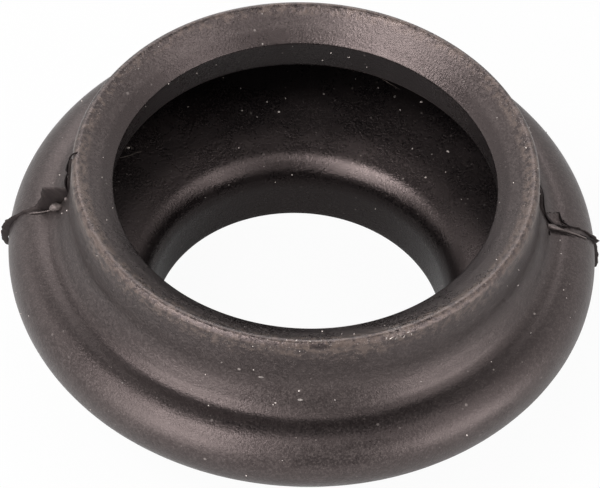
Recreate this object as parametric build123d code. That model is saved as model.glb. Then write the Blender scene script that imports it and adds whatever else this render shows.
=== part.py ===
from build123d import *
import os
from math import ceil, cos, radians, tan

# A moulded rubber bellows ring: a thick-lipped mouth on a short neck, one wide
# convolution of thin wall, a sloping floor and a plain collar below. It is one
# solid of revolution about Z, with the mould's flash left along its parting line.
# Millimetres. Origin: centre of the foot ring's flat face, +Z up through the mouth.

# ---- Driving dimensions ----------------------------------------------------
# Mouth and lip
MOUTH_D = 63.8            # smallest diameter, at the top of the lip's bore
LIP_BORE_LENGTH = 6.5     # height of the bore's wall
LIP_BORE_DRAFT = 10.0     # degrees, the bore opens downwards
LIP_WIDTH = 6.8           # radial, from the mouth to the outer edge of the rim
CONE_DEPTH = 4.4          # fall of the funnel-shaped top face, rim to mouth
RIM_BEVEL_WIDTH = 0.6     # narrow bevel round the outside of the rim
RIM_BEVEL_HEIGHT = 1.1

# Thin wall: neck, convolution and floor
WALL = 2.5
NECK_DRAFT = 5.0          # degrees, the neck widens downwards
NECK_LENGTH = 3.1         # from the convolution's top to the lip's underside
NECK_FLARE = 30.0         # degrees, the neck's foot flares more widely
NECK_FLARE_HEIGHT = 4.5   # of that flare, above the convolution's top
NECK_FLARE_R = 8.0        # outside, where the flare begins
NECK_BEND_R = 3.0         # outside, where the flare meets the convolution
BULGE_TOP_LAND = 0.11     # flat ring on top, between the bend and the edge round
BULGE_TOP_R = 6.1         # outer round of the convolution, above
BULGE_EDGE_R = 5.6        # outer round of the convolution, below
BULGE_LAND = 0.3          # straight strip between its two rounds
BULGE_MID_HEIGHT = 21.8   # parting height of the convolution above the foot
FLOOR_SLOPE = 20.0        # degrees, the floor falls towards the collar

# Collar below
COLLAR_BORE_D = 51.1
COLLAR_WALL = 3.75
FLOOR_BEND_R = 6.0        # inside, where the floor turns down into the bore
COLLAR_ROOT_R = 3.2       # outside, under the floor

# Small rounds at the edges
MOUTH_EDGE_R = 0.35
LIP_TOE_R = 0.5
LIP_ROOT_R = 0.7
RIM_CREST_R = 0.8
FOOT_EDGE_R = 0.8
FOOT_BORE_EDGE_R = 0.3

# Mould flash along the parting line, in the XZ plane
FLASH_THICKNESS = 0.45
FLASH_HEIGHT = 0.55
FLASH_ROOT = 0.6          # how deep its root runs into the wall
FLASH_START = 0.8         # travel down the outline from the rim's edge
FLASH_LENGTH = 35.5
FLASH_PITCH = 1.0         # spacing of the points that carry it round the bends
# Torn tabs that stand higher: start of travel, length, height
TABS_RIGHT = [(3.9, 8.6, 1.0), (12.5, 4.2, 0.8), (22.3, 1.0, 1.3), (23.5, 5.2, 1.0)]
TABS_LEFT = [(2.2, 1.2, 0.8), (5.2, 1.8, 0.85), (16.0, 6.0, 0.75), (21.7, 6.2, 1.35)]
# Torn web left in the corner between neck and convolution on the left: its outline
# in the parting plane, outwards and upwards from that corner
WEB_LEFT = [
    (-3.0, 5.5), (-1.8, 5.5), (2.0, 4.5), (2.3, 2.5), (2.8, 1.2),
    (4.0, 0.2), (4.0, -1.2), (0.0, -1.2), (-2.4, 3.0),
]


# ---- Heights and radii that follow -----------------------------------------
def slope_rise(run):
    """Height gained along the floor's slope over a radial run."""
    return run * tan(radians(FLOOR_SLOPE))


bulge_top = BULGE_MID_HEIGHT + BULGE_LAND / 2 + BULGE_TOP_R
lip_under = bulge_top + NECK_LENGTH
mouth_height = lip_under + LIP_BORE_LENGTH
rim_top = mouth_height + CONE_DEPTH
rim_edge = rim_top - RIM_BEVEL_HEIGHT

mouth_r = MOUTH_D / 2
lip_toe_r = mouth_r + LIP_BORE_LENGTH * tan(radians(LIP_BORE_DRAFT))
rim_r = mouth_r + LIP_WIDTH
flare_height = bulge_top + NECK_FLARE_HEIGHT
flare_r = rim_r + (rim_edge - flare_height) * tan(radians(NECK_DRAFT))
neck_base_r = flare_r + NECK_FLARE_HEIGHT * tan(radians(NECK_FLARE))
neck_bend_reach = NECK_BEND_R * tan(radians((90 - NECK_FLARE) / 2))
bulge_r = neck_base_r + neck_bend_reach + BULGE_TOP_LAND + BULGE_TOP_R
bore_r = COLLAR_BORE_D / 2
collar_r = bore_r + COLLAR_WALL

# The floor's outer face leaves the edge round tangentially at its own slope
edge_tangent = BULGE_EDGE_R * tan(radians((90 - FLOOR_SLOPE) / 2))
floor_at_edge = BULGE_MID_HEIGHT - BULGE_LAND / 2 - edge_tangent
floor_wall = WALL / cos(radians(FLOOR_SLOPE))        # the wall, measured upright
flare_wall = WALL / cos(radians(NECK_FLARE))         # the wall, measured level


def neck_inner_r(height):
    """Radius of the neck's inner face at a height, inside the flare."""
    return neck_base_r - flare_wall - (height - bulge_top) * tan(radians(NECK_FLARE))


# ---- Section, as corners and the round at each -------------------------------
collar_top = floor_at_edge - slope_rise(bulge_r - collar_r)
outside = [
    ((rim_r - RIM_BEVEL_WIDTH, rim_top), RIM_CREST_R),
    ((rim_r, rim_edge), 0),
    ((flare_r, flare_height), NECK_FLARE_R),
    ((neck_base_r, bulge_top), NECK_BEND_R),
    ((bulge_r, bulge_top), BULGE_TOP_R),
    ((bulge_r, floor_at_edge), BULGE_EDGE_R),
    ((collar_r, collar_top), COLLAR_ROOT_R),
    ((collar_r, 0), FOOT_EDGE_R),
]

cavity_r = bulge_r - WALL
cavity_top = bulge_top - WALL
bend_height = floor_at_edge - slope_rise(bulge_r - bore_r) + floor_wall
inside = [
    ((bore_r, 0), FOOT_BORE_EDGE_R),
    ((bore_r, bend_height), FLOOR_BEND_R),
    ((cavity_r, floor_at_edge - slope_rise(WALL) + floor_wall), BULGE_EDGE_R - WALL),
    ((cavity_r, cavity_top), BULGE_TOP_R - WALL),
    ((neck_inner_r(cavity_top), cavity_top), NECK_BEND_R + WALL),
    ((neck_inner_r(lip_under), lip_under), LIP_ROOT_R),
    ((lip_toe_r, lip_under), LIP_TOE_R),
    ((mouth_r, mouth_height), MOUTH_EDGE_R),
]

with BuildPart() as bellows:
    with BuildSketch(Plane.XZ):
        with BuildLine():
            corners = outside + inside
            points = [point for point, _ in corners]
            rounds = [round_r for _, round_r in corners]
            FilletPolyline(*points, radius=rounds, close=True)
        make_face()
    revolve(axis=Axis.Z)

# ---- Flash --------------------------------------------------------------------
# The outline that the flash follows, from the rim down and under the convolution
outline = Plane.XZ * FilletPolyline(
    *[point for point, _ in outside[1:]],
    radius=[round_r for _, round_r in outside[2:-1]],
)


def strip(travel, length, height):
    """Plate standing out of the outline, over a stretch of its travel."""
    steps = ceil(length / FLASH_PITCH)
    stations = [(travel + length * step / steps) / outline.length for step in range(steps + 1)]
    outward = [(outline % u).cross(Vector(0, 1, 0)) for u in stations]
    foot = [outline @ u - n * FLASH_ROOT for u, n in zip(stations, outward)]
    edge = [outline @ u + n * height for u, n in zip(stations, outward)]
    face = make_face(Polyline(*foot, *reversed(edge), close=True))
    return extrude(face, FLASH_THICKNESS / 2, dir=(0, 1, 0), both=True)


def flash(tabs):
    """One side's flash: the low strip and the torn tabs left on it."""
    body = strip(FLASH_START, FLASH_LENGTH, FLASH_HEIGHT)
    for travel, length, height in tabs:
        body += strip(travel, length, height)
    return body


def web(offsets):
    """Plate standing in the corner between the neck and the convolution."""
    corner = Vector(neck_base_r, 0, bulge_top)
    face = make_face(Polyline(*[corner + Vector(out, 0, rise) for out, rise in offsets], close=True))
    return extrude(face, FLASH_THICKNESS / 2, dir=(0, 1, 0), both=True)


left = flash(TABS_LEFT) + web(WEB_LEFT)
part = bellows.part + flash(TABS_RIGHT) + left.rotate(Axis.Z, 180)
part.label = "bellows"

os.makedirs("parts", exist_ok=True)
export_step(part, "parts/bellows.step")
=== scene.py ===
import math

import bpy
import numpy as np
from bpy.props import FloatProperty, FloatVectorProperty, IntProperty, PointerProperty
from bpy.types import Operator, Panel, PropertyGroup
from mathutils import Matrix, Vector


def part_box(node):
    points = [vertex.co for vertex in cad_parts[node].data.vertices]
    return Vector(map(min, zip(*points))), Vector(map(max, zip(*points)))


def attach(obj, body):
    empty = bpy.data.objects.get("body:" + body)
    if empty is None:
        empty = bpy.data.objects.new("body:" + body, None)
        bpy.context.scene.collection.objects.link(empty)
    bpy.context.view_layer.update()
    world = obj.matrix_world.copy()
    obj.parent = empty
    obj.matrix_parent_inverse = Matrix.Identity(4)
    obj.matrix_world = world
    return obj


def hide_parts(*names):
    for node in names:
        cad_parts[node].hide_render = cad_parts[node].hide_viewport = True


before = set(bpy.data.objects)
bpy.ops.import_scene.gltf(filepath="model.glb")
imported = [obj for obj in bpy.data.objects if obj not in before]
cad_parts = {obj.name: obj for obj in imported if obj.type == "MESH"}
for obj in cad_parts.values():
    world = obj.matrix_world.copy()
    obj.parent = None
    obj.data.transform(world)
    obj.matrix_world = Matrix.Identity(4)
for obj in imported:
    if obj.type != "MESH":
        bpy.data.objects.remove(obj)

bl_info = {
    "name": "Moulded Rubber Bellows",
    "version": (1, 0, 0),
    "blender": (4, 5, 0),
    "location": "3D View > Sidebar > Bellows",
    "description": "Dresses the packed bellows ring with its moulded body, flash, dust and studio",
    "category": "Object",
}

MM = 0.001
DEG = math.pi / 180
HIGH = np.array(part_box("bellows")[1]) / MM
MISFIT = 0.6  # how far the section may be from the solid's height and reach, in millimetres

# Roundings of the small edges in millimetres, the same as the solid's.
RIM_EDGE, RIM_CREST, MOUTH_EDGE, LIP_TOE, LIP_CORNER = 0.12, 0.8, 0.35, 0.5, 0.7
COLLAR_CORNER, FOOT_OUTER, FOOT_INNER = 3.2, 0.8, 0.3


def size(name, description, millimetres):
    """A length that the user may change, kept in metres."""
    return FloatProperty(
        name=name, description=description, default=millimetres * MM, unit="LENGTH", precision=5)


def tilt(name, description, degrees):
    """An angle that the user may change."""
    return FloatProperty(name=name, description=description, default=degrees * DEG, subtype="ANGLE")


def share(name, description, value, top=1.0):
    """A plain number that the user may change."""
    return FloatProperty(name=name, description=description, default=value, min=0.0, max=top)


def colour(name, description, value):
    """A linear colour that the user may change."""
    return FloatVectorProperty(
        name=name, description=description, default=value, size=3, min=0.0, max=1.0, subtype="COLOR")


def whole(name, description, value, low, high):
    """A whole number that the user may change."""
    return IntProperty(name=name, description=description, default=value, min=low, max=high)


# ---- What a user would change ----


class BellowsSizes(PropertyGroup):
    """The moulding's own sizes, the same as the solid's."""

    mouth: size("Mouth diameter", "Crease where the dished face meets the bore of the lip", 63.8)
    lip_bore: size("Lip bore length", "Height of the lip's bore", 6.5)
    lip_draft: tilt("Lip bore draft", "The bore opens this much downwards", 10)
    lip_width: size("Lip width", "Radial width of the dished face", 6.8)
    cone_depth: size("Dish depth", "Fall of the dished face from rim to mouth", 4.4)
    bevel_width: size("Rim bevel width", "Bevel outside the rim's crest", 0.6)
    bevel_height: size("Rim bevel height", "Fall of that bevel", 1.1)
    wall: size("Wall", "Wall of the neck, convolution and floor", 2.5)
    neck_draft: tilt("Neck draft", "The neck flares this much downwards", 5)
    neck_length: size("Neck length", "From the convolution's top to the lip's underside", 3.1)
    neck_flare: tilt("Neck flare", "The neck's foot flares this much", 30)
    flare_height: size("Neck flare height", "Height of that flare above the convolution's top", 4.5)
    flare_round: size("Neck flare radius", "Rounding where the flare begins", 8)
    neck_bend: size("Neck bend radius", "Concave bend from the flare to the convolution", 3)
    bulge_top_land: size("Convolution top land", "Flat ring between the bend and the edge rounding", 0.11)
    bulge_top: size("Convolution top radius", "Rounding of its upper outer edge", 6.1)
    bulge_edge: size("Convolution edge radius", "Rounding of its lower outer edge", 5.6)
    bulge_land: size("Convolution land", "Flat between those roundings", 0.3)
    bulge_middle: size("Convolution middle height", "Height of its widest circle", 21.8)
    floor_slope: tilt("Floor slope", "Fall of the floor towards the collar", 20)
    collar_bore: size("Collar bore diameter", "Bore that grips what it seals", 51.1)
    collar_wall: size("Collar wall", "Radial wall of the collar", 3.75)
    floor_bend: size("Floor bend radius", "Where the floor turns down into the collar's bore", 6)
    waviness: size("Waviness", "How far the soft ring is out of round", 0.07)
    turns: whole("Divisions round", "Divisions of the ring about its axis", 396, 96, 400)


class BellowsFlash(PropertyGroup):
    """The thin rubber that the mould left along its parting line."""

    root: size("Flash thickness at the skin", "Thickness where it grows out of the wall", 0.55)
    edge: size("Flash thickness at its edge", "Thickness of its torn edge", 0.2)
    rag: size("Raggedness", "How uneven the torn edge is", 0.16)
    crumbs: whole("Crumbs", "Loose grains of dust and trim lying on the skin", 170, 0, 600)


class RubberFinish(PropertyGroup):
    """The black rubber and what lies on it."""

    rubber: colour("Rubber", "Clean black rubber", (0.0050, 0.0040, 0.0044))
    bloom: colour("Bloom", "Greyish film that has come out of the rubber", (0.015, 0.0125, 0.012))
    # Inside: the darkest rubber. Inside the ring and on the front of the convolution's upper edge it is
    # painted shade; it also darkens the patch on the neck and the torn edges.
    dark_and_painted_shade: colour("Inside", "Clean rubber inside the ring", (0.0014, 0.0011, 0.0014))
    wear: colour("Wear", "Brownish scuffed rubber on the rim", (0.080, 0.060, 0.050))
    dust: colour("Dust", "Pale dust", (0.34, 0.30, 0.28))
    sheen_tint: colour("Sheen tint", "Tint of the reflections on the waxy skin", (1.0, 0.80, 0.775))
    roughness: share("Roughness", "Roughness of the moulded skin", 0.34)
    sleekness: share("Sleekness", "How much less rough the dished face and the inside are", 0.06)
    shine: share("Shine", "Specular level of the skin", 0.75)
    grain: size("Grain depth", "Depth of the skin's fine grain", 0.02)


class BellowsStage(PropertyGroup):
    """Floor, lamps and camera."""

    floor: colour("Floor", "Pale floor", (0.56, 0.56, 0.56))
    floor_white: share("Floor whiteness", "How far the floor shows as plain white paper", 0.95)
    floor_shine: share("Floor in reflections", "How far reflections see floor and room as plain white", 0.1)
    wall: share("Wall", "Brightness of the room's pale walls, under a dark ceiling", 1.15, 4.0)
    key: share("Key light", "Radiance of the soft box on the left", 4.9, 10.0)
    key_low: share("Low key light", "Radiance of the soft box under it, near the floor", 2.7, 10.0)
    key_top: share("High key light", "Radiance of the soft box high on the left", 12.0, 20.0)
    front: share("Front light", "Radiance of the soft box over the camera", 3.2, 10.0)
    fill: share("Fill light", "Radiance of the soft box on the right", 3.2, 10.0)
    fill_low: share("Low fill light", "Radiance of the soft box under it, near the floor", 4.4, 10.0)
    fill_top: share("High fill light", "Radiance of the soft box high on the right", 3.3, 10.0)
    left: share("Left light", "Radiance of the soft box behind on the left", 0.9, 10.0)
    back: share("Back light", "Radiance of the tall soft box behind", 2.0, 10.0)
    back_low: share("Low back light", "Radiance of the strip behind, near the floor", 2.0, 10.0)
    distance: size("Camera distance", "From the convolution's middle to the camera", 449.7)
    elevation: tilt("Camera elevation", "Height of the camera above the horizon", 49.154)
    azimuth: tilt("Camera azimuth", "Turn of the camera from the front towards the left", 1.75)
    roll: tilt("Camera roll", "Turn of the camera about its own line of sight", 2.9368)
    lens: FloatProperty(
        name="Lens", description="Focal length in mm on a 36 mm wide sensor", default=157.745, min=1.0)


def settings(name):
    """One group of the scene's settings."""
    return getattr(bpy.context.scene, name)


# ---- Shapes ----


def unit(vectors):
    return vectors / np.linalg.norm(vectors, axis=-1, keepdims=True)


def smoothstep(low, high, x):
    """0 below low, 1 above high, and 3t^2 - 2t^3 between."""
    t = np.clip((x - low) / (high - low), 0, 1)
    return t * t * (3 - 2 * t)


def rounded_section(corners, radii, steps):
    """A closed line through corners, each one cut by an arc of its radius.

    The arc's centre stands on the line that halves the corner, radius / sin(half the corner's angle) from it,
    and its ends lie radius / tan(half the angle) from the corner along both runs. Each arc and the run after
    it are divided evenly by their step.
    """
    corners, radii = np.array(corners, float), np.array(radii, float)
    back, on = unit(np.roll(corners, 1, 0) - corners), unit(np.roll(corners, -1, 0) - corners)
    half = np.arccos(np.sum(back * on, axis=1)) / 2
    cut = (radii / np.tan(half))[:, None]
    first, last = corners + back * cut, corners + on * cut
    centres = corners + unit(back + on) * (radii / np.sin(half))[:, None]
    pieces = []
    for i, step in enumerate(steps):
        start, end = (math.atan2(*(p[i] - centres[i])[::-1]) for p in (first, last))
        turn = (end - start + math.pi) % (2 * math.pi) - math.pi
        angle = start + turn * np.linspace(0, 1, max(4, math.ceil(abs(turn) * radii[i] / step)) + 1)
        pieces.append(centres[i] + radii[i] * np.column_stack([np.cos(angle), np.sin(angle)]))
        run = first[(i + 1) % len(corners)] - last[i]
        count = max(1, math.ceil(np.linalg.norm(run) / step))
        pieces.append(last[i] + run * (np.arange(1, count) / count)[:, None])
    return np.vstack(pieces)


class Skin:
    """The ring's closed section and the skin that it sweeps round Z, in millimetres.

    A place on it is a travel, the distance along the section from the rim's outer edge, down the outside
    where it is positive and over the dished face into the mouth where it is negative, and a side: the angle
    about Z.
    """

    LENGTHS = (
        "mouth", "lip_bore", "lip_width", "cone_depth", "bevel_width", "bevel_height", "wall", "neck_length",
        "flare_height", "flare_round", "neck_bend", "bulge_top_land", "bulge_top", "bulge_edge", "bulge_land",
        "bulge_middle", "collar_bore", "collar_wall", "floor_bend",
    )
    # How it is out of round: waves round the axis, their share, their phase, and their turn from foot to rim.
    WAVES = [(2, 1.0, -0.7, 0.0), (3, 0.6, 1.1, 0.0), (7, 0.35, 2.0, 2.0)]

    def __init__(self, sizes):
        s = {key: getattr(sizes, key) / MM for key in self.LENGTHS}
        fall, draft = math.tan(sizes.floor_slope), math.tan(sizes.neck_draft)
        bulge_top = s["bulge_middle"] + s["bulge_land"] / 2 + s["bulge_top"]
        lip_under = bulge_top + s["neck_length"]
        mouth_height = lip_under + s["lip_bore"]
        top = mouth_height + s["cone_depth"]
        edge = top - s["bevel_height"]
        mouth = s["mouth"] / 2
        toe = mouth + s["lip_bore"] * math.tan(sizes.lip_draft)
        rim = mouth + s["lip_width"]
        flare = bulge_top + s["flare_height"]
        straight = rim + (edge - flare) * draft
        neck = straight + s["flare_height"] * math.tan(sizes.neck_flare)
        bend = s["neck_bend"] * math.tan((math.pi / 2 - sizes.neck_flare) / 2)
        reach = neck + bend + s["bulge_top_land"] + s["bulge_top"]
        bore = s["collar_bore"] / 2
        collar = bore + s["collar_wall"]
        floor_wall = s["wall"] / math.cos(sizes.floor_slope)
        neck_wall = s["wall"] / math.cos(sizes.neck_flare)
        tangent = s["bulge_edge"] * math.tan((math.pi / 2 - sizes.floor_slope) / 2)
        floor = s["bulge_middle"] - s["bulge_land"] / 2 - tangent
        cavity, roof = reach - s["wall"], bulge_top - s["wall"]
        inner_neck = lambda height: neck - neck_wall - (height - bulge_top) * math.tan(sizes.neck_flare)
        section = [  # corner, its rounding, and the longest step there and on the run after it
            ((rim, edge), RIM_EDGE, 0.5),
            ((straight, flare), s["flare_round"], 0.5),
            ((neck, bulge_top), s["neck_bend"], 0.42),
            ((reach, bulge_top), s["bulge_top"], 0.5),
            ((reach, floor), s["bulge_edge"], 0.7),
            ((collar, floor - (reach - collar) * fall), COLLAR_CORNER, 1.1),
            ((collar, 0), FOOT_OUTER, 0.7),
            ((bore, 0), FOOT_INNER, 0.9),
            ((bore, floor - (reach - bore) * fall + floor_wall), s["floor_bend"], 0.45),
            ((cavity, floor - s["wall"] * fall + floor_wall), s["bulge_edge"] - s["wall"], 0.9),
            ((cavity, roof), s["bulge_top"] - s["wall"], 1.3),
            ((inner_neck(roof), roof), s["neck_bend"] + s["wall"], 1.3),
            ((inner_neck(lip_under), lip_under), LIP_CORNER, 0.9),
            ((toe, lip_under), LIP_TOE, 0.5),
            ((mouth, mouth_height), MOUTH_EDGE, 0.45),
            ((rim - s["bevel_width"], top), RIM_CREST, 0.35),
        ]
        self.line = rounded_section(*zip(*section))
        ahead = unit(np.roll(self.line, -1, 0) - np.roll(self.line, 1, 0))
        self.normal = np.column_stack([-ahead[:, 1], ahead[:, 0]])
        lengths = np.linalg.norm(np.roll(self.line, -1, 0) - self.line, axis=1)
        self.travel = np.concatenate([[0], np.cumsum(lengths)])
        self.length = self.travel[-1]
        self.wave = sizes.waviness / MM
        self.rim, self.top, self.reach = rim, top, reach

    def place(self, travel, side, lift=0.0, across=0.0):
        """Points at a travel and a side, lifted along the normal and moved across, along the circle."""
        given = (np.asarray(v, float) for v in (travel, side, lift, across))
        travel, side, lift, across = np.broadcast_arrays(*given)
        at = np.mod(travel, self.length)
        ring = lambda values: np.interp(at, self.travel, np.append(values, values[0]))
        r, z = ring(self.line[:, 0]), ring(self.line[:, 1])
        r, z = r + lift * ring(self.normal[:, 0]), z + lift * ring(self.normal[:, 1])
        return self.settle(np.stack([r * np.cos(side + across / r), r * np.sin(side + across / r), z], -1))

    def settle(self, points):
        """A soft ring isn't quite round: points move out by the waviness x height x the sum of WAVES."""
        angle = np.arctan2(points[..., 1], points[..., 0])
        height = np.clip(points[..., 2] / self.top, 0, 1)
        wave = sum(tall * np.cos(n * angle + phase + turn * height) for n, tall, phase, turn in self.WAVES)
        grow = self.wave * wave * height
        out = np.stack([np.cos(angle), np.sin(angle)], -1) * grow[..., None]
        return np.concatenate([points[..., :2] + out, points[..., 2:]], -1)


def grid_faces(rows, columns, wrap_rows, wrap_columns):
    """Four-sided faces of a grid of points numbered row by row, closed on itself where it wraps."""
    last_row, last_column = rows - (not wrap_rows), columns - (not wrap_columns)
    i, j = np.meshgrid(np.arange(last_row), np.arange(last_column), indexing="ij")
    below, beside = (i + 1) % rows, (j + 1) % columns
    corners = [i * columns + j, below * columns + j, below * columns + beside, i * columns + beside]
    return np.stack(corners, -1).reshape(-1, 4)


def tube(rings):
    """A closed tube through rings (stations, points round, 3), each end drawn in to its own middle point."""
    ends = [np.broadcast_to(r.mean(0), r.shape) * 1.0 for r in (rings[0], rings[-1])]
    rings = np.concatenate([ends[0][None], rings, ends[1][None]])
    count, around = rings.shape[:2]
    faces = grid_faces(count, around, False, True)
    points = rings.reshape(-1, 3)
    number = np.arange(len(points))
    number[:around], number[-around:] = 0, len(points) - around
    faces = number[faces]
    kept, faces = np.unique(faces, return_inverse=True)
    return points[kept], faces.reshape(-1, 4)


def shell(front, back):
    """A closed thin shell between two grids (rows, columns, 3): rings run along the front and back again."""
    return tube(np.concatenate([front, back[:, ::-1]], axis=1))


def outward(points, faces):
    """The faces turned so that the volume that they close is positive."""
    a, b, c, d = (points[faces[:, k]] for k in range(4))
    volume = np.sum(a * np.cross(b, c)) + np.sum(a * np.cross(c, d))
    return faces if volume > 0 else faces[:, ::-1]


def make_piece(name, parts, material):
    """One object from closed parts (points in millimetres, faces), riding on the body."""
    points, faces, start = [], [], 0
    for p, f in parts:
        points.append(p)
        faces.append(outward(p, f) + start)
        start += len(p)
    points, faces = np.vstack(points) * MM, np.vstack(faces)
    faces = [list(dict.fromkeys(face)) for face in faces.tolist()]
    mesh = bpy.data.meshes.new(name)
    mesh.from_pydata(points.tolist(), [], [face for face in faces if len(face) > 2])
    mesh.polygons.foreach_set("use_smooth", np.ones(len(mesh.polygons), bool))
    mesh.update()
    piece = bpy.data.objects.new(name, mesh)
    bpy.context.scene.collection.objects.link(piece)
    mesh.materials.append(material)
    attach(piece, "root")
    return piece


def ragged(count, rng, spans=(9, 31)):
    """Uneven numbers between -1 and 1: two rows of random knots joined by lines, the finer half as strong."""
    x = np.linspace(0, 1, count)
    rows = [np.interp(x, np.linspace(0, 1, n), rng.uniform(-1, 1, n)) for n in spans]
    return (rows[0] + 0.5 * rows[1]) / 1.5


def web(skin, flash, stations, side, seed, rows, columns=9):
    """A sheet of flash standing in the parting plane, closed all round.

    Each station holds the travel and lift of its root, the radius and height of its torn edge, how far that
    edge leans back, and its thickness as a share. Along v, a point goes from the root at 0 to the edge at 1:
    root + (edge - root) v, leaning by the lean times v^1.4 and a little at random. The half thickness is half
    of root (1 - v)^0.7 + edge v^0.7, and sqrt(1 - 0.93 v^6) rounds it at the edge.
    """
    apart, tail, wander = 0.2, 0.6, 0.05  # least way between stations, smooth run at both ends, random lean
    rng = np.random.default_rng(seed)
    table = np.array(stations, float)
    reach = np.concatenate([[0], np.cumsum(np.linalg.norm(np.diff(table[:, 2:4], axis=0), axis=1) + apart)])
    t = np.linspace(0, reach[-1], rows)
    travel, lift, r, z, lean, thick = (np.interp(t, reach, column) for column in table.T)
    root = skin.place(travel, 0.0, lift)
    torn = flash.rag / MM * ragged(rows, rng, (rows // 9, rows // 3))
    ends = smoothstep(0, tail, t) * smoothstep(0, tail, reach[-1] - t)
    toward = unit(np.column_stack([r, z]) - root[:, [0, 2]])
    edge = np.column_stack([r, z]) + toward * (torn * ends)[:, None]
    v = np.linspace(0, 1, columns)[None, :, None]
    flat = root[:, None, [0, 2]] * (1 - v) + edge[:, None] * v
    v = v[..., 0]
    back = lean[:, None] * v**1.4 + wander * ragged(rows, rng, (rows // 12, rows // 5))[:, None] * v
    full = flash.root / MM * (1 - v) ** 0.7 + flash.edge / MM * v**0.7
    half = 0.5 * thick[:, None] * full * np.sqrt(1 - 0.93 * v**6)
    turn = lambda y: np.stack([flat[..., 0] * side, y, flat[..., 1]], -1)
    return shell(turn(back - half), turn(back + half))


def strand(points, thickness, around=6):
    """A thin round thread through points: a ring of that thickness stands square to the path at each."""
    points = np.array(points, float)
    rings_each, aslant = 6, [0.3, 0.2, 1.0]  # rings for each point, and a direction that no thread runs along
    t = np.linspace(0, len(points) - 1, rings_each * len(points))
    path = np.stack([np.interp(t, np.arange(len(points)), points[:, k]) for k in range(3)], -1)
    ahead = unit(np.gradient(path, axis=0))
    side = unit(np.cross(ahead, aslant))
    other = np.cross(ahead, side)
    angle = np.linspace(0, 2 * np.pi, around, endpoint=False)[None, :, None]
    radius = np.interp(t / t[-1], np.linspace(0, 1, len(thickness)), thickness)[:, None, None] / 2
    return tube(path[:, None] + radius * (np.cos(angle) * side[:, None] + np.sin(angle) * other[:, None]))


def roll(points, side):
    """A strand along the flash through its points, mirrored to the left where side is -1. It draws the rolled
    lips and edges, and also the dark lines that are painted shadow along the flash.
    """
    table = np.array(points, float)
    return strand(table[:, :3] * (side, 1, 1), table[:, 3], 8)


def lump(centre, radii, rng, turn=0.0, rough=0.25, rows=5, around=8):
    """A small uneven grain: a ball of rings whose radius varies at random from point to point."""
    down = np.linspace(0, np.pi, rows + 2)[1:-1][:, None]
    angle = np.linspace(0, 2 * np.pi, around, endpoint=False)[None]
    wide, high = np.sin(down), np.cos(down)
    ball = np.stack([wide * np.cos(angle), wide * np.sin(angle), high + 0 * angle], -1)
    ball = ball * (1 + rough * rng.uniform(-1, 1, ball.shape[:2]))[..., None] * np.array(radii)
    c, s = math.cos(turn), math.sin(turn)
    x, y, z = np.moveaxis(ball, -1, 0)
    return tube(np.stack([x * c - y * s, x * s + y * c, z], -1) + np.array(centre))


# ---- Materials ----


class Value:
    """One number of a material: the operators on it add Math nodes."""

    def __init__(self, board, socket):
        self.board, self.socket = board, socket

    def math(self, operation, *others):
        sockets = dict(enumerate((self, *others)))
        return self.board.node("ShaderNodeMath", {"operation": operation}, sockets).out(0)

    def __add__(self, other): return self.math("ADD", other)
    def __sub__(self, other): return self.math("SUBTRACT", other)
    def __mul__(self, other): return self.math("MULTIPLY", other)
    def __truediv__(self, other): return self.math("DIVIDE", other)
    def __pow__(self, other): return self.math("POWER", other)
    def __rsub__(self, other): return self.board.number("SUBTRACT", other, self)
    __radd__, __rmul__ = __add__, __mul__

    def ramp(self, low, high, to_low=0.0, to_high=1.0):
        """to_low below low, to_high above high, and a smooth step between."""
        sockets = {"Value": self, "From Min": low, "From Max": high, "To Min": to_low, "To Max": to_high}
        smooth = {"interpolation_type": "SMOOTHSTEP"}
        return self.board.node("ShaderNodeMapRange", smooth, sockets).out("Result")

    def fall(self, low, high):
        """1 below low, 0 above high, and a smooth step between."""
        return self.ramp(low, high, 1.0, 0.0)

    def bump_at(self, centre, width):
        """1 at centre, falling smoothly to 0 at width on both sides."""
        return (self - centre).math("ABSOLUTE").fall(0.0, width)

    def at_least(self, other):
        return self.math("MAXIMUM", other)

    def at_most(self, other):
        return self.math("MINIMUM", other)


class Step:
    """One node of a material."""

    def __init__(self, board, node):
        self.board, self.node = board, node

    def out(self, name):
        return Value(self.board, self.node.outputs[name])


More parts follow.
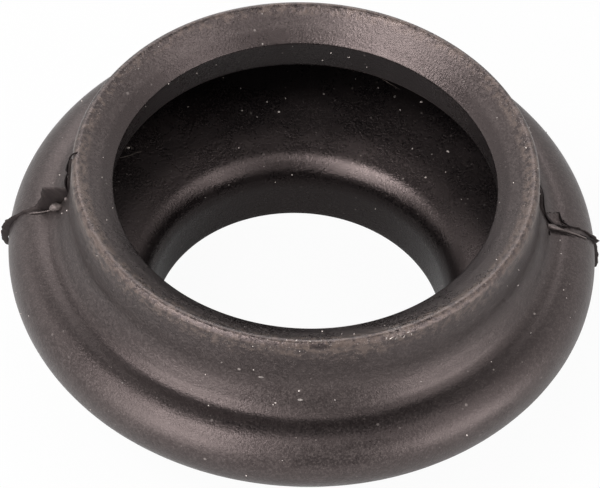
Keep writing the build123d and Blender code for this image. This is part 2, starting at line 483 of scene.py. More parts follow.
class Board:
    """The node tree of a new material or of the world, emptied, with the one way of adding a node to it."""

    def __init__(self, name, owner=None):
        self.owner = owner or bpy.data.materials.new(name)
        self.owner.use_nodes = True
        self.tree = self.owner.node_tree
        self.tree.nodes.clear()

    def node(self, kind, options=None, inputs=None):
        """Adds a node: its options first, then the values or links of its sockets."""
        made = self.tree.nodes.new(kind)
        for key, value in (options or {}).items():
            setattr(made, key, value)
        for key, value in (inputs or {}).items():
            if isinstance(value, Value):
                self.tree.links.new(value.socket, made.inputs[key])
            else:
                made.inputs[key].default_value = value
        return Step(self, made)

    def number(self, operation, first, second):
        return self.node("ShaderNodeMath", {"operation": operation}, {0: first, 1: second}).out(0)

    def where(self):
        """Object coordinates, in metres."""
        return self.node("ShaderNodeTexCoord").out("Object")

    def place(self):
        """Object coordinates, and the radius, angle and height that they stand for, in mm and radians."""
        where = self.where()
        parts = self.node("ShaderNodeSeparateXYZ", None, {0: where})
        x, y, z = (parts.out(k) for k in "XYZ")
        return where, (x * x + y * y).math("SQRT") * 1000, y.math("ARCTAN2", x), z * 1000

    def noise(self, where, per_metre, detail=2.0, roughness=0.5):
        sockets = {"Vector": where, "Scale": per_metre, "Detail": detail, "Roughness": roughness}
        return self.node("ShaderNodeTexNoise", None, sockets).out("Fac")

    def specks(self, where, per_metre, share, small, large):
        """Round spots and a random tone for each: a cell of a scattered lattice has one round its point if
        its first random number is under share, and its second sets the size, from small to large cells."""
        cells = self.node("ShaderNodeTexVoronoi", {"feature": "F1"}, {"Vector": where, "Scale": per_metre})
        random = self.node("ShaderNodeSeparateColor", None, {"Color": cells.out("Color")})
        chosen = self.number("LESS_THAN", random.out("Red"), share)
        edge = random.out("Green") * random.out("Green") * (large - small) + small
        away = cells.out("Distance") / edge
        return away.fall(0.55, 1.0) * chosen, random.out("Blue")

    def blend(self, factor, first, second):
        """A colour between two colours, by the Mix node's colour sockets."""
        fill = lambda c: c if isinstance(c, Value) else (*c, 1.0)
        sockets = {0: factor, 6: fill(first), 7: fill(second)}
        return self.node("ShaderNodeMix", {"data_type": "RGBA"}, sockets).out(2)

    def bump(self, depth, height):
        """The normal of a surface raised by height times depth."""
        return self.node("ShaderNodeBump", None, {"Distance": depth, "Height": height}).out("Normal")

    def surface(self, sockets):
        return self.node("ShaderNodeBsdfPrincipled", None, sockets).out("BSDF")

    def mixed(self, factor, first, second):
        """Two shaders mixed: the first at 0 and the second at 1."""
        return self.node("ShaderNodeMixShader", None, {0: factor, 1: first, 2: second}).out("Shader")

    def seen(self, straight, reflected):
        """One share for rays straight from the camera or through clear things, one for reflected rays."""
        rays = self.node("ShaderNodeLightPath")
        direct = rays.out("Is Camera Ray").at_least(rays.out("Is Transmission Ray"))
        return (direct * straight).at_least(rays.out("Is Glossy Ray") * reflected)

    def finish(self, shader, output="ShaderNodeOutputMaterial"):
        self.node(output, None, {"Surface": shader})
        return self.owner


def times(tone, share):
    """A colour that many times as bright."""
    return [part * share for part in tone]


def rubber_shader(board, finish, tone, rough, bump, shine=1.0):
    """Rubber with the slightly warm sheen of its waxy skin."""
    sockets = {
        "Base Color": tone, "Roughness": rough, "Normal": bump,
        "Specular IOR Level": finish.shine * shine, "Specular Tint": (*finish.sheen_tint, 1.0),
    }
    return board.surface(sockets)


# Where the moulded skin changes: radii and heights in millimetres and angles in radians, each as the two ends
# of a smooth step.
RIM_RADII, RIM_HEIGHTS = (35.7, 36.6), (38.0, 40.6)  # the scuffed band on the rim
# The rim's outer edge is lightened with the wear colour: partly wear, partly a painted highlight along the
# edge.
CREASE_DROP, CREASE_REACH = 1.1, (0.28, 0.5)  # the rim's outer edge below the top, and its reach out and up
PATCH_ANGLES, PATCH_RADII, PATCH_HEIGHT, PATCH_REACH = (0.22, 0.36), (37.5, 38.4), 37.6, 3.4  # on the neck
MOUTH_RADII = (33.5, 34.5)  # inside these is the mouth and all below it
HOLLOW_RADII, HOLLOW_HEIGHTS = (46.9, 47.3), (25.8, 26.8)  # inside and under these is the hollow convolution
FLOOR_FALL, FLOOR_SKIN, COLLAR_RADII = 0.364, (-0.3, 0.9), (26.8, 28.0)  # the floor's and collar's inner side
LIT_FLOOR = (8.5, 10.5), (20.0, 26.0), (31.0, 35.0)  # foot, top and radii of the floor that stays shiny
# Painted shade: below these heights the hollow takes the half-shine copy of the skin.
BELOW_LIP = (37.2, 37.8)  # the hollow is dull below these heights
SCRAPE_ANGLE, SCRAPE_WIDTH, SCRAPE_HEIGHTS = -67.5 * DEG, 5 * DEG, (40.2, 40.7)  # fine scrapes on the crest
# Painted shade: a darker, duller band on the front of the convolution's upper edge, where the neck's dark
# reflection lies.
SHOULDER_SHADE_HEIGHTS = (24.5, 26.5), (28.3, 31.0)  # a darker zone on the front of the convolution's upper edge
SHOULDER_SHADE_RADII, SHOULDER_SHADE_ANGLES = ((41.0, 42.5), (46.0, 48.8)), (0.8, 1.5)
LOW_HEIGHTS, LOW_RADII = (19.5, 21.0), (47.5, 48.5)  # the convolution's scratched lower edge
FACE_HEIGHTS, FACE_RADII = (37.2, 38.0), (38.0, 38.5)  # the smooth dished face


def moulded_rubber(finish):
    """Black moulded rubber: a grey bloom in clouds, a fine grain, pale dust, a scuffed brownish rim and a
    rubbed patch on the neck. It is darker and duller inside the ring and on the front of the convolution's
    upper edge, which is painted shade, and its rim's outer edge is lighter, partly wear and partly a painted
    highlight."""
    skin = Skin(settings("bellows_sizes"))
    b = Board("moulded_rubber")
    where, r, angle, z = b.place()
    clouds = b.noise(where, 85, 4, 0.62)
    broad = b.noise(where, 26, 2, 0.5)
    grain = b.noise(where, 2300, 2, 0.7)
    fine = b.noise(where, 5200, 1, 0.6)
    pits = b.noise(where, 950, 3, 0.65)

    # Where the skin is worn, where it faces inwards, and where shade is painted: inside and on the front of
    # the convolution's upper edge.
    rim_line = r.ramp(*RIM_RADII) * (z + (pits + clouds - 1.0) * 4).ramp(*RIM_HEIGHTS)
    rim_worn = rim_line * (pits * 2.2 - 0.55 + (broad - 0.5) * 0.8).ramp(0.3, 0.8)
    # Wear and painted highlight: a broken light line along the rim's outer edge.
    rim_edge_wear_and_highlight = r.bump_at(skin.rim, CREASE_REACH[0]) * z.bump_at(skin.top - CREASE_DROP, CREASE_REACH[1])
    rim_edge_wear_and_highlight = rim_edge_wear_and_highlight * (pits * 1.6 + clouds * 0.8 - 0.7).ramp(0.2, 0.6)
    from_front = (angle + math.pi / 2).math("ABSOLUTE")
    patch = from_front.fall(*PATCH_ANGLES) * z.bump_at(PATCH_HEIGHT, PATCH_REACH) * r.ramp(*PATCH_RADII)
    patch_worn = patch * (pits * 1.6 - 0.3).ramp(0.3, 0.75)
    inside = r.fall(*MOUTH_RADII) + z.fall(*HOLLOW_HEIGHTS) * r.fall(*HOLLOW_RADII)
    inner_side = (z - r * FLOOR_FALL).ramp(*FLOOR_SKIN).at_least(r.fall(*COLLAR_RADII))
    inside = inside.at_most(1.0) * inner_side
    outside = 1 - inside
    around = b.node("ShaderNodeCombineXYZ", None, {0: angle * 6, 1: z * 3.2, 2: r * 3.2}).out("Vector")
    scratch = b.noise(around, 1.0, 3, 0.7).ramp(0.58, 0.72) * clouds.ramp(0.45, 0.7)
    scrape = angle.bump_at(SCRAPE_ANGLE, SCRAPE_WIDTH) * z.ramp(*SCRAPE_HEIGHTS)
    scrape = scrape * (fine + grain).ramp(0.95, 1.2)
    # Painted shade on the front of the convolution's upper edge: a darker tone and half the shine, standing
    # for the dark reflection of the neck.
    shoulder_shade = z.ramp(*SHOULDER_SHADE_HEIGHTS[0]) * z.fall(*SHOULDER_SHADE_HEIGHTS[1])
    shoulder_shade = shoulder_shade * r.ramp(*SHOULDER_SHADE_RADII[0]) * r.fall(*SHOULDER_SHADE_RADII[1])
    shoulder_shade = shoulder_shade * from_front.fall(*SHOULDER_SHADE_ANGLES)
    low = z.fall(*LOW_HEIGHTS) * r.ramp(*LOW_RADII)

    # Dust in three sizes of speck, on the fine grain and in the scrapes.
    dust_a, tone_a = b.specks(where, 420, 0.26, 0.05, 0.16)
    dust_b, tone_b = b.specks(where, 900, 0.40, 0.08, 0.24)
    dust_c, tone_c = b.specks(where, 190, 0.16, 0.03, 0.09)
    patchy = clouds.ramp(0.35, 0.68, 0.25, 1.0)
    dust = dust_a * (tone_a * 0.5 + 0.12) * patchy
    dust = dust.at_least(dust_b * (tone_b * 0.26 + 0.07) * patchy)
    dust = dust.at_least(dust_c * (tone_c * 0.5 + 0.3))
    dust = dust.at_least(fine.ramp(0.62, 0.78) * (rim_line * 0.45 + patch * 0.25 + 0.09))
    dust = dust.at_least(scrape * 0.3)

    bloomed = clouds.ramp(0.3, 0.72) * 0.55 + broad.ramp(0.35, 0.65) * 0.3
    speckled = (grain - 0.5) * 4 + (fine - 0.5) * 2 + (pits - 0.5) * 1.5 + 0.3
    tone = b.blend(bloomed, finish.rubber, finish.bloom)
    tone = b.blend(speckled, tone, times(finish.bloom, 2.4))
    tone = b.blend(rim_worn * 0.75, tone, finish.wear)
    tone = b.blend(patch * 0.8 - patch_worn * 0.5, tone, finish.dark_and_painted_shade)
    # The rim's outer edge and the scratches take the wear colour; along that edge it is partly a painted
    # highlight.
    tone = b.blend(rim_edge_wear_and_highlight * 0.25 + scratch * (low * 0.25 + rim_line * 0.2), tone, finish.wear)
    # Painted shade: the hollow inside the ring and the front of the convolution's upper edge are darkened
    # towards the Inside colour.
    tone = b.blend(inside.at_least(shoulder_shade * 0.7) * 0.9, tone, finish.dark_and_painted_shade)
    tone = b.blend(dust * (outside * 0.2 + 0.8), tone, finish.dust)

    sleek = (inside + z.ramp(*FACE_HEIGHTS) * r.fall(*FACE_RADII)).at_most(1.0)
    rough = clouds.ramp(0.3, 0.7, -0.04, 0.06) + finish.roughness - sleek * finish.sleekness
    rough = (rough + dust * 0.3 + patch_worn * 0.08 + (grain - 0.5) * 0.2).at_most(0.95)
    height = (grain - 0.5) * 2.6 + (fine - 0.5) * 1.2 + (pits - 0.5) * (rim_line * 5 + patch * 5 + 1.8)
    height = height + dust_a * 0.8 + dust_b * 0.5 + (broad - 0.5) * 7
    bump = b.bump(finish.grain, height)
    # Painted shade: the hollow below the lip, except the shiny floor bend, and the front of the convolution's
    # upper edge take a copy of the skin with half the shine.
    foot, top, radii = LIT_FLOOR
    dull = inside * z.fall(*BELOW_LIP) * (1 - z.ramp(*foot) * r.fall(*radii) * z.fall(*top))
    dull = dull.at_least(shoulder_shade * 0.6)
    bright, painted_shade_copy = (rubber_shader(b, finish, tone, rough, bump, shine) for shine in (1.0, 0.5))
    return b.finish(b.mixed(dull, bright, painted_shade_copy))


def torn_rubber(finish):
    """The same rubber where it is torn thin: dull, a little paler on its worn grain."""
    b = Board("torn_rubber")
    where = b.where()
    clouds, grain = b.noise(where, 400, 3, 0.6), b.noise(where, 2600, 2, 0.7)
    tone = b.blend(clouds.ramp(0.35, 0.7) * 0.8, finish.rubber, finish.bloom)
    tone = b.blend(grain.ramp(0.55, 0.8) * 0.3, tone, finish.wear)
    bump = b.bump(finish.grain * 1.5, grain + clouds)
    return b.finish(rubber_shader(b, finish, tone, clouds.ramp(0.3, 0.7, 0.45, 0.6), bump, 0.45))


def black_edge(finish):
    """The torn edges, black and dull, and the dark strands that are painted shadow: the gap round the right
    flap, the line under the right lip and the shaded side of the left web.
    """
    b = Board("black_edge")
    clouds = b.noise(b.where(), 700, 3, 0.6)
    tone = b.blend(clouds.ramp(0.45, 0.75), finish.dark_and_painted_shade, finish.bloom)
    bump = b.bump(finish.grain * 1.5, clouds)
    return b.finish(rubber_shader(b, finish, tone, clouds.ramp(0.3, 0.7, 0.5, 0.65), bump, 0.3))


def rubbed_rubber(finish):
    """Pale rubber for the rolled lips of the flash and the grains on them; on the lips the pale tone stands
    for the light caught along their crests, a painted highlight.
    """
    b = Board("rubbed_rubber")
    where = b.where()
    clouds, grain = b.noise(where, 600, 3, 0.6), b.noise(where, 2600, 2, 0.7)
    rubbed = clouds.ramp(0.35, 0.7) * 0.15 + grain.ramp(0.5, 0.75) * 0.12
    tone = b.blend(rubbed, times(finish.bloom, 3.5), finish.dust)
    bump = b.bump(finish.grain * 1.5, grain + clouds)
    return b.finish(rubber_shader(b, finish, tone, clouds.ramp(0.3, 0.7, 0.35, 0.5), bump))


def pale_dust(finish):
    """Grains of pale dust and talc, some of them darker."""
    b = Board("pale_dust")
    where = b.where()
    mottled = b.noise(where, 700, 2).ramp(0.35, 0.65)
    tone = b.blend(mottled, times(finish.dust, 1.8), times(finish.dust, 0.5))
    bump = b.bump(finish.grain, b.noise(where, 4000, 2))
    rough = b.noise(where, 900, 1).ramp(0.3, 0.7, 0.7, 0.9)
    return b.finish(b.surface({"Base Color": tone, "Roughness": rough, "Normal": bump}))


def brown_fibre(finish):
    """A brown thread of lint."""
    b = Board("brown_fibre")
    tone = b.blend(b.noise(b.where(), 900, 2).ramp(0.35, 0.65), times(finish.wear, 0.5), finish.wear)
    return b.finish(b.surface({"Base Color": tone, "Roughness": 0.8}))


def paper_floor(stage):
    """Pale paper: nearly white to the camera, with a faint shadow, and not there from below."""
    b = Board("paper_floor")
    paper = b.node("ShaderNodeBsdfDiffuse", None, {"Color": (*stage.floor, 1.0)}).out("BSDF")
    white = b.node("ShaderNodeEmission", None, {"Color": (1, 1, 1, 1), "Strength": 1.0}).out("Emission")
    clear = b.node("ShaderNodeBsdfTransparent").out("BSDF")
    face = b.mixed(b.seen(stage.floor_white, stage.floor_shine), paper, white)
    return b.finish(b.mixed(b.node("ShaderNodeNewGeometry").out("Backfacing"), face, clear))


def pale_room(world, stage):
    """A room that is plain white to the camera and lights the object by its walls.

    They are bright up to a height of 0.5, as the sine of the elevation, and fade to dark at 0.85. Behind the
    object (+Y) both heights rise by 0.14, and straight in front (-Y) the walls are dimmed by nine tenths.
    """
    b = Board("room", world)
    ahead = b.node("ShaderNodeSeparateXYZ", None, {0: b.node("ShaderNodeTexCoord").out("Generated")})
    behind, front = ahead.out("Y").ramp(-0.2, 0.5), (0 - ahead.out("Y")).ramp(0.75, 0.97)
    walls = (ahead.out("Z") - behind * 0.14).fall(0.5, 0.85) * (1 - front * 0.9) * stage.wall
    seen = b.seen(1.0, stage.floor_shine)
    light = b.node("ShaderNodeBackground", None, {"Strength": walls * (1 - seen) + seen}).out("Background")
    return b.finish(light, "ShaderNodeOutputWorld")


# ---- Operators ----


RUBBERS = (moulded_rubber, torn_rubber, rubbed_rubber, black_edge, pale_dust, brown_fibre)


def rubber_of(kind):
    """The material of that name, made once."""
    made = bpy.data.materials.get(kind)
    if made is None:
        makers = {maker.__name__: maker for maker in RUBBERS}
        made = makers[kind](settings("rubber_finish"))
    return made


class BELLOWS_OT_mould_body(Operator):
    """Mould the ring: its section carried round the axis"""

    bl_idname = "bellows.mould_body"
    bl_label = "Mould body"

    def execute(self, context):
        sizes = settings("bellows_sizes")
        skin = Skin(sizes)
        made, solid = (skin.reach, skin.line[:, 1].max()), HIGH[1:]
        if np.abs(made - solid).max() > MISFIT:
            raise RuntimeError(f"the section's reach and height are {made}, and the solid's {solid}")
        turns = np.linspace(0, 2 * np.pi, sizes.turns, endpoint=False)
        r, z = skin.line[:, :1], skin.line[:, 1:]
        points = skin.settle(np.stack([r * np.cos(turns), r * np.sin(turns), z + 0 * turns], -1))
        rows, columns = points.shape[:2]
        ring = points.reshape(-1, 3), grid_faces(rows, columns, True, True)
        body = make_piece("body", [ring], rubber_of("moulded_rubber"))
        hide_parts("bellows")
        return {"FINISHED"}


# Stations of the flash: travel and lift of the root, then the torn edge's radius, height, lean back and share
# of the thickness.
LEFT_WEB = [
    (0.2, -0.4, 39.1, 40.9, 0, 0.8), (0.5, -0.4, 39.31, 40.5, 0, 1), (1.8, -0.4, 39.47, 39.2, 0.05, 1),
    (2.6, -0.4, 39.8, 38.45, 0.1, 1), (3.2, -0.4, 39.58, 37.8, 0, 0.9), (4.8, -0.4, 39.57, 36.2, 0.05, 1),
    (5.4, -0.4, 40.04, 35.6, 0.15, 1), (6.6, -0.4, 40.15, 34.4, 0.15, 1), (7.3, -0.4, 39.75, 33.7, 0, 1),
    (8, -0.4, 40.6, 33.45, 0.3, 1), (9.2, -0.4, 42.2, 33, 0.7, 0.9), (10.7, -0.4, 44.13, 32.52, 1, 0.8),
    (12.1, -0.4, 44.3, 31.4, 0.9, 0.9), (13.8, -0.4, 44.45, 30.3, 0.7, 1), (15.2, -0.4, 44.9, 29.2, 0.5, 1),
    (16.8, -0.4, 45.65, 28.4, 0.3, 1), (19.1, -0.4, 47.5, 27.5, 0.15, 1),
    (20.2, -0.4, 48.45, 26.75, 0.1, 1), (21.7, -0.4, 49.8, 25.6, 0.1, 1.1),
    (22.5, -0.4, 50.6, 24.85, 0.1, 1.2), (23.8, -0.4, 51.2, 23.4, 0.1, 1.2),
    (24.8, -0.3, 51.42, 22.2, 0.1, 1.2), (25.4, 0.35, 51.42, 21.2, 0.1, 1.2),
    (26.6, 0.45, 51.3, 20, 0.1, 1.1), (27.5, 0.6, 50.85, 18.9, 0.1, 0.9),
]
RIGHT_WEB = [
    (3.6, -0.4, 39.3, 37.4, 0, 1), (4.2, -0.4, 39.6, 36.9, 0, 1.2), (4.9, -0.4, 39.85, 36.2, 0, 1.2),
    (5.9, -0.4, 40.02, 35.1, 0, 1.2), (7.9, -0.4, 40.25, 33.2, 0, 1.2), (9.4, -0.4, 40.52, 31.8, 0, 1.2),
    (10.7, -0.4, 41, 30.75, -0.15, 1.3), (11.8, -0.4, 41.6, 29.9, -0.4, 1.2),
    (12.7, -0.4, 42.1, 29.25, -0.5, 1.2), (13.9, -0.4, 42.85, 28.75, -0.5, 1.1),
    (15.2, -0.4, 43.9, 28.5, -0.5, 1), (16.6, -0.4, 45, 28.35, -0.3, 1), (18.4, -0.4, 46.9, 27.7, -0.2, 1),
    (20.5, -0.4, 48.7, 26.3, -0.1, 0.9), (22, -0.4, 50.1, 25, 0, 0.9), (22.7, -0.4, 50.75, 24.2, 0, 0.7),
    (23.2, -0.4, 50.25, 23.6, 0, 0.7), (24.6, -0.4, 50.6, 22.2, 0, 0.6), (26.4, 0.3, 51, 20.2, 0, 0.6),
    (27.8, 0.9, 51.1, 18.6, 0, 0.6), (28.8, 1.5, 50.95, 17.5, 0, 0.5),
]
RIGHT_FLAP = [
    (11.6, -0.2, 41.15, 29.9, 0.6, 0.6), (12.2, -0.2, 41.6, 29.45, 1.5, 0.6),
    (13.1, -0.2, 42.25, 28.95, 1.9, 0.6), (14.1, -0.2, 43, 28.7, 2.3, 0.6),
    (14.8, -0.2, 43.5, 28.55, 2.2, 0.6), (15.4, -0.2, 44, 28.5, 1, 0.6),
    (16.2, -0.2, 44.6, 28.35, 0.3, 0.5),
]
# Dark strands along the flash: points out from the axis, back from the parting plane and up, and the
# thickness.
# They are partly torn edges and partly painted shadow: the shaded side of the left web, the gap round the
# right flap and the line under the right lip.
LEFT_EDGES_AND_SHADOWS = [
    [(37.77, 0.83, 41.8, 0.1), (38.34, 0.65, 41.68, 0.28), (38.85, 0.3, 41.52, 0.3),
     (39.08, 0, 41.25, 0.36), (39.22, 0, 40.75, 0.2), (39.38, 0, 40.19, 0.2), (39.6, 0, 39.2, 0.34),
     (39.76, 0, 38.21, 0.45), (39.5, 0, 37.58, 0.22), (39.8, 0, 36.73, 0.35), (40.02, 0, 35.47, 0.45),
     (40, 0, 34.23, 0.5), (39.8, 0, 33.49, 0.35), (39.62, -0.15, 32.8, 0.4), (39.75, -0.5, 31.9, 0.3)],
]
RIGHT_EDGES_AND_SHADOWS = [
    [(38.9, 0, 38.6, 0.2), (39.2, 0, 37.6, 0.25), (39.6, 0, 36.7, 0.3), (39.83, 0, 35.76, 0.3),
     (40.02, 0, 34.51, 0.35), (40.25, 0, 33, 0.3), (40.52, 0, 31.6, 0.35), (40.9, -0.3, 30.6, 0.45),
     (41.4, -0.5, 29.8, 0.5), (41.95, -0.5, 29.05, 0.5), (42.7, -0.5, 28.55, 0.4), (43.8, -0.8, 28.3, 0.3)],
    [(41.6, 1.6, 29.4, 0.15), (42.15, 1.8, 28.9, 0.25), (42.95, 2.2, 28.6, 0.28), (43.42, 2.3, 28.48, 0.45),
     (43.55, 1.8, 28.45, 0.35), (43.74, 0.9, 28.42, 0.3), (44.05, 0.3, 28.4, 0.3),
     (44.46, -0.05, 28.36, 0.28), (45.4, -0.6, 28.15, 0.2)],
    [(41.45, -2.3, 29.36, 0.1), (42.25, -2.05, 28.66, 0.18), (43.45, -1.95, 28.23, 0.16),
     (45.1, -2.3, 28.04, 0.12), (46, -2.4, 27.75, 0.06)],
    [(46.9, -1.5, 27.4, 0.25), (48.12, -1.3, 26.5, 0.4), (49.35, -0.3, 24.95, 0.45), (50.1, 0, 24.4, 0.32),
     (50.6, 0, 24.22, 0.12)],
    [(41.5, -2.5, 29.26, 0.25), (41.5, -3.3, 29.2, 0.2)],
]
LEFT_LIP = [
    (42, -0.45, 29, 0.5), (42.6, -0.5, 28.62, 0.32), (43.33, -0.55, 28.36, 0.28),
    (44.15, -0.7, 28.24, 0.26), (45, -0.8, 28.16, 0.25), (46.3, -0.6, 27.7, 0.2),
]
RIGHT_LIP = [
    (41.15, -1.5, 29.6, 0.5), (41.65, -1.45, 29.3, 0.9), (42.3, -1.3, 28.85, 1), (43, -1.25, 28.52, 0.65),
    (43.9, -1.4, 28.36, 0.36), (45.3, -1.7, 28.1, 0.3), (46.75, -1.8, 27.56, 0.26), (48.1, -1.6, 26.6, 0.2),
]


class BELLOWS_OT_leave_flash(Operator):
    """Leave the mould's torn flash along both sides of the parting line"""

    bl_idname = "bellows.leave_flash"
    bl_label = "Leave flash"

    def execute(self, context):
        skin, flash = Skin(settings("bellows_sizes")), settings("bellows_flash")
        torn, rng = rubber_of("torn_rubber"), np.random.default_rng(11)
        make_piece("flash_left", [web(skin, flash, LEFT_WEB, -1, 3, 420)], torn)
        make_piece("flash_right", [web(skin, flash, RIGHT_WEB, 1, 5, 380)], torn)
        make_piece("flash_flap", [web(skin, flash, RIGHT_FLAP, 1, 6, 120)], rubber_of("moulded_rubber"))
        # The dark strands are partly torn edges and partly painted shadow lines.
        rolls = [roll(points, -1) for points in LEFT_EDGES_AND_SHADOWS] + [roll(points, 1) for points in RIGHT_EDGES_AND_SHADOWS]
        make_piece("flash_edges", rolls, rubber_of("black_edge"))
        knobs = [
            lump((-41.6, -1.0, 29.9), (1.3, 0.7, 0.75), rng, 0.2, 0.22, 7, 12),
            lump((-39.95, -0.9, 31.9), (0.3, 0.3, 0.45), rng, 0.0, 0.25),
        ]
        # Painted highlight: the pale lips stand for the light along their crests; the grains are pale.
        make_piece("flash_lips", [roll(LEFT_LIP, -1), roll(RIGHT_LIP, 1)] + knobs, rubber_of("rubbed_rubber"))
        return {"FINISHED"}


# Grains that stand out: travel, side in degrees, length and width.
CHIPS = [
    (7.3, -99.6, 0.8, 0.45), (6, -101.5, 0.35, 0.22), (0.2, -97.9, 0.25, 0.2), (9.3, -90.7, 0.35, 0.26),
    (10.8, -90.3, 0.8, 0.5), (11, -82.6, 0.35, 0.25), (11.7, -95.8, 0.3, 0.16), (12, -96.3, 0.3, 0.16),
    (16.2, 28.3, 0.4, 0.2), (16.6, 29.8, 0.35, 0.15), (-2.1, 8.1, 0.3, 0.2), (4, -27.2, 0.25, 0.2),
    (7.6, -27.4, 0.35, 0.2), (16.8, -18.1, 0.3, 0.2), (15, -8.5, 0.25, 0.2), (-45.1, 99.8, 0.3, 0.26),
    (-44.6, 94.7, 0.28, 0.24), (-46.1, 107.1, 0.3, 0.25), (-47.2, 96.8, 0.5, 0.32),
    (-47.8, 103.3, 0.3, 0.24), (-43.5, 84.6, 0.35, 0.25), (-41, 66.9, 0.6, 0.35), (-40.1, 60.3, 0.6, 0.35),
    (-45.9, 46.4, 0.65, 0.45), (-49, 55.4, 0.35, 0.25), (-49.2, 42.3, 0.3, 0.22), (-40.3, 71.6, 0.3, 0.22),
    (-43.1, 64.2, 0.3, 0.2), (-42.5, 120.5, 0.35, 0.2), (-56.8, 126.2, 0.3, 0.2), (-59.4, 93.7, 0.3, 0.2),
    (-43.5, 141, 0.6, 0.4), (-46.9, 147.5, 0.25, 0.2), (-10.5, 126.2, 0.3, 0.18), (-10.4, 119.2, 0.3, 0.18),
    (-13, 84.9, 0.3, 0.16), (-10.9, 76.7, 0.35, 0.15), (-12.6, 70.9, 0.3, 0.18), (-10.5, 82.4, 0.25, 0.16),
    (9, -178.6, 0.22, 0.2), (8.7, -174.5, 0.22, 0.2), (10.7, -175.9, 0.22, 0.2), (14.8, 2.9, 0.35, 0.3),
    (12.5, 2.4, 0.4, 0.35), (-0.3, -70.6, 0.6, 0.12), (-0.1, -69.3, 0.9, 0.12), (0.2, -68.2, 0.5, 0.14),
    (0, -67, 1, 0.12), (0.3, -66.1, 0.7, 0.14), (-0.2, -65, 0.5, 0.12), (0.4, -64.2, 0.4, 0.14),
    (-1.2, -94.2, 0.4, 0.1), (-1.3, -91.9, 0.5, 0.1), (-1.2, -88.7, 0.4, 0.12), (-1.3, -86, 0.6, 0.1),
]
# Threads of lint: travel and side in degrees of the points that each passes, and its thickness.
FIBRES = [
    ([(-43.9, 145.0), (-44.4, 143.7), (-44.8, 142.4), (-45.2, 140.5), (-45.6, 139.0)], 0.22),
    ([(-43.7, 142.6), (-43.2, 141.4), (-43.8, 140.2), (-44.4, 141.0)], 0.18),
    ([(-38.3, 72.1), (-38.6, 70.6), (-38.9, 69.2), (-39.4, 66.4)], 0.16),
]


class BELLOWS_OT_strew_dust(Operator):
    """Strew loose grains of dust and a few threads over the skin"""

    bl_idname = "bellows.strew_dust"
    bl_label = "Strew dust"

    def execute(self, context):
        skin, rng = Skin(settings("bellows_sizes")), np.random.default_rng(29)
        grains = []
        for travel, side, long, wide in CHIPS:
            half = (long / 2, wide / 2, 0.12)
            grains.append(lump(skin.place(travel, side * DEG, 0.05), half, rng, rng.uniform(0, 3), 0.35))
        # Crumbs lie at random travels: a third outside, a sixth on the dished face and the rest inside.
        count = settings("bellows_flash").crumbs
        outside, face = count // 3, count // 6
        zones = [(0, 26, outside), (-11, 0, face), (-64, -24, count - outside - face)]
        travels = np.concatenate([rng.uniform(*zone) for zone in zones])
        sides = rng.uniform(0, 2 * np.pi, count)
        halves = (0.16 + 0.2 * rng.random(count) ** 2.5) / 2
        for centre, half in zip(skin.place(travels, sides, 0.03), halves):
            grains.append(lump(centre, (half, half, half), rng, 0.0, 0.3, 3, 6))
        make_piece("dust_grains", grains, rubber_of("pale_dust"))
        threads = []
        for points, thickness in FIBRES:
            travel, side = np.array(points).T
            widths = (thickness / 2, thickness, thickness / 2)
            threads.append(strand(skin.place(travel, side * DEG, 0.1), widths))
        make_piece("fibres", threads, rubber_of("brown_fibre"))
        return {"FINISHED"}


# Soft boxes: the setting that holds each one's radiance, its width and height in metres, and its azimuth and
# elevation in degrees.
SOFT_BOXES = [
    ("key", 0.42, 0.26, -131, 31), ("key_low", 0.42, 0.2, -128, 11), ("key_top", 0.34, 0.18, -145, 58),
    ("front", 0.24, 0.14, -92, 71), ("fill", 0.2, 0.2, -35, 31), ("fill_low", 0.4, 0.2, -35, 11),
    ("fill_top", 0.28, 0.22, -16, 55), ("left", 0.26, 0.3, 165, 25), ("back", 0.42, 0.42, 98, 46),
    ("back_low", 0.3, 0.12, 92, 9),
]


LAMP_DISTANCE, LAMP_AIM = 0.6, (0, 0, 0.025)
FLOOR_HALF, FLOOR_DROP, FLOOR_LINES = 2.5, 0.0001, 9
AIM_LEFT, AIM_DOWN = 0.000824, 0.000986  # how far the camera looks past the middle, as shares of the distance


def soft_box(name, radiance, width, height, azimuth, elevation):
    """A rectangular lamp at an azimuth and elevation from the object, facing it. Its power is its radiance
    times pi times its area."""
    flat = math.cos(elevation)
    away = Vector((flat * math.cos(azimuth), flat * math.sin(azimuth), math.sin(elevation)))
    lamp = bpy.data.lights.new(name, "AREA")
    lamp.shape, lamp.size, lamp.size_y = "RECTANGLE", width, height
    lamp.energy = radiance * math.pi * width * height
    box = bpy.data.objects.new(name, lamp)
    box.location = Vector(LAMP_AIM) + away * LAMP_DISTANCE
    box.rotation_euler = away.to_track_quat("Z", "Y").to_euler()
    box.visible_camera = False
    bpy.context.scene.collection.objects.link(box)


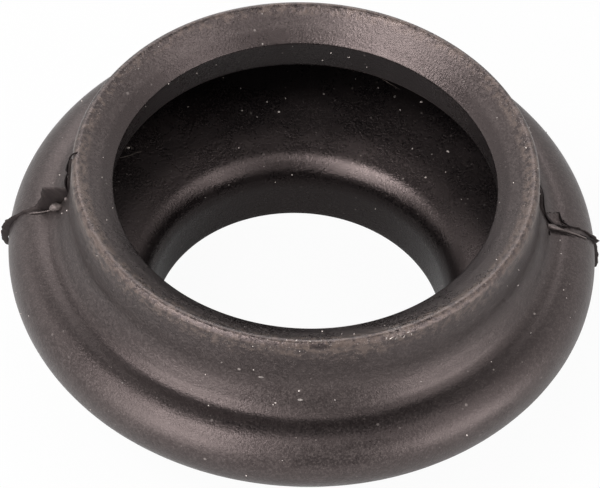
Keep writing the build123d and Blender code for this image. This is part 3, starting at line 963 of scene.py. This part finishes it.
class BELLOWS_OT_set_stage(Operator):
    """Set the paper floor, the soft lamps and the camera"""

    bl_idname = "bellows.set_stage"
    bl_label = "Set stage"

    def execute(self, context):
        stage, scene = settings("bellows_stage"), context.scene
        across = np.linspace(-FLOOR_HALF, FLOOR_HALF, FLOOR_LINES)
        x, y = np.meshgrid(across, across, indexing="ij")
        points = np.stack([x, y, 0 * x - FLOOR_DROP], -1).reshape(-1, 3)
        mesh = bpy.data.meshes.new("paper")
        mesh.from_pydata(points.tolist(), [], grid_faces(FLOOR_LINES, FLOOR_LINES, False, False).tolist())
        mesh.update()
        mesh.materials.append(paper_floor(stage))
        floor = bpy.data.objects.new("paper", mesh)
        scene.collection.objects.link(floor)

        scene.world = scene.world or bpy.data.worlds.new("room")
        pale_room(scene.world, stage)
        for name, width, height, azimuth, elevation in SOFT_BOXES:
            soft_box(name, getattr(stage, name), width, height, azimuth * DEG, elevation * DEG)

        # The camera looks at the convolution's middle from the front, above, turned and rolled a little.
        turn, flat = stage.azimuth, math.cos(stage.elevation)
        toward = Vector((-flat * math.sin(turn), -flat * math.cos(turn), math.sin(stage.elevation)))
        ahead, level = -toward, Vector((math.cos(turn), -math.sin(turn), 0))
        up = level.cross(ahead)
        ahead = (ahead - AIM_LEFT * level - AIM_DOWN * up).normalized()
        level = ahead.cross(Vector((0, 0, 1))).normalized()
        up = level.cross(ahead)
        c, s = math.cos(stage.roll), math.sin(stage.roll)
        right, top = level * c + up * s, up * c - level * s
        camera = bpy.data.objects.new("camera", bpy.data.cameras.new("camera"))
        camera.data.sensor_width, camera.data.lens, camera.data.clip_start = 36.0, stage.lens, 0.01
        place = Matrix((right, top, -ahead)).transposed().to_4x4()
        place.translation = toward * stage.distance + Vector((0, 0, settings("bellows_sizes").bulge_middle))
        camera.matrix_world = place
        scene.collection.objects.link(camera)
        scene.camera = camera
        scene.view_settings.view_transform = "Standard"
        return {"FINISHED"}


class BELLOWS_PT_panel(Panel):
    """Sizes, finishes and steps of the bellows"""

    bl_idname = "BELLOWS_PT_panel"
    bl_label = "Bellows"
    bl_space_type, bl_region_type, bl_category = "VIEW_3D", "UI", "Bellows"

    def draw(self, context):
        for step in OPERATORS:
            self.layout.operator(step.bl_idname)
        for key in GROUPS:
            box = self.layout.box()
            box.label(text=key.replace("_", " ").capitalize())
            group = getattr(context.scene, key)
            for name in group.__annotations__:
                box.prop(group, name)


GROUPS = {
    "bellows_sizes": BellowsSizes, "bellows_flash": BellowsFlash,
    "rubber_finish": RubberFinish, "bellows_stage": BellowsStage,
}
OPERATORS = (BELLOWS_OT_mould_body, BELLOWS_OT_leave_flash, BELLOWS_OT_strew_dust, BELLOWS_OT_set_stage)


def register():
    for kind in (*GROUPS.values(), *OPERATORS, BELLOWS_PT_panel):
        bpy.utils.register_class(kind)
    for key, group in GROUPS.items():
        setattr(bpy.types.Scene, key, PointerProperty(type=group))


def unregister():
    for key in GROUPS:
        delattr(bpy.types.Scene, key)
    for kind in reversed((*GROUPS.values(), *OPERATORS, BELLOWS_PT_panel)):
        bpy.utils.unregister_class(kind)


def main():
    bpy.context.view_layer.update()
    register()
    bpy.ops.bellows.mould_body()
    bpy.ops.bellows.leave_flash()
    bpy.ops.bellows.strew_dust()
    bpy.ops.bellows.set_stage()


if __name__ == "__main__":
    main()
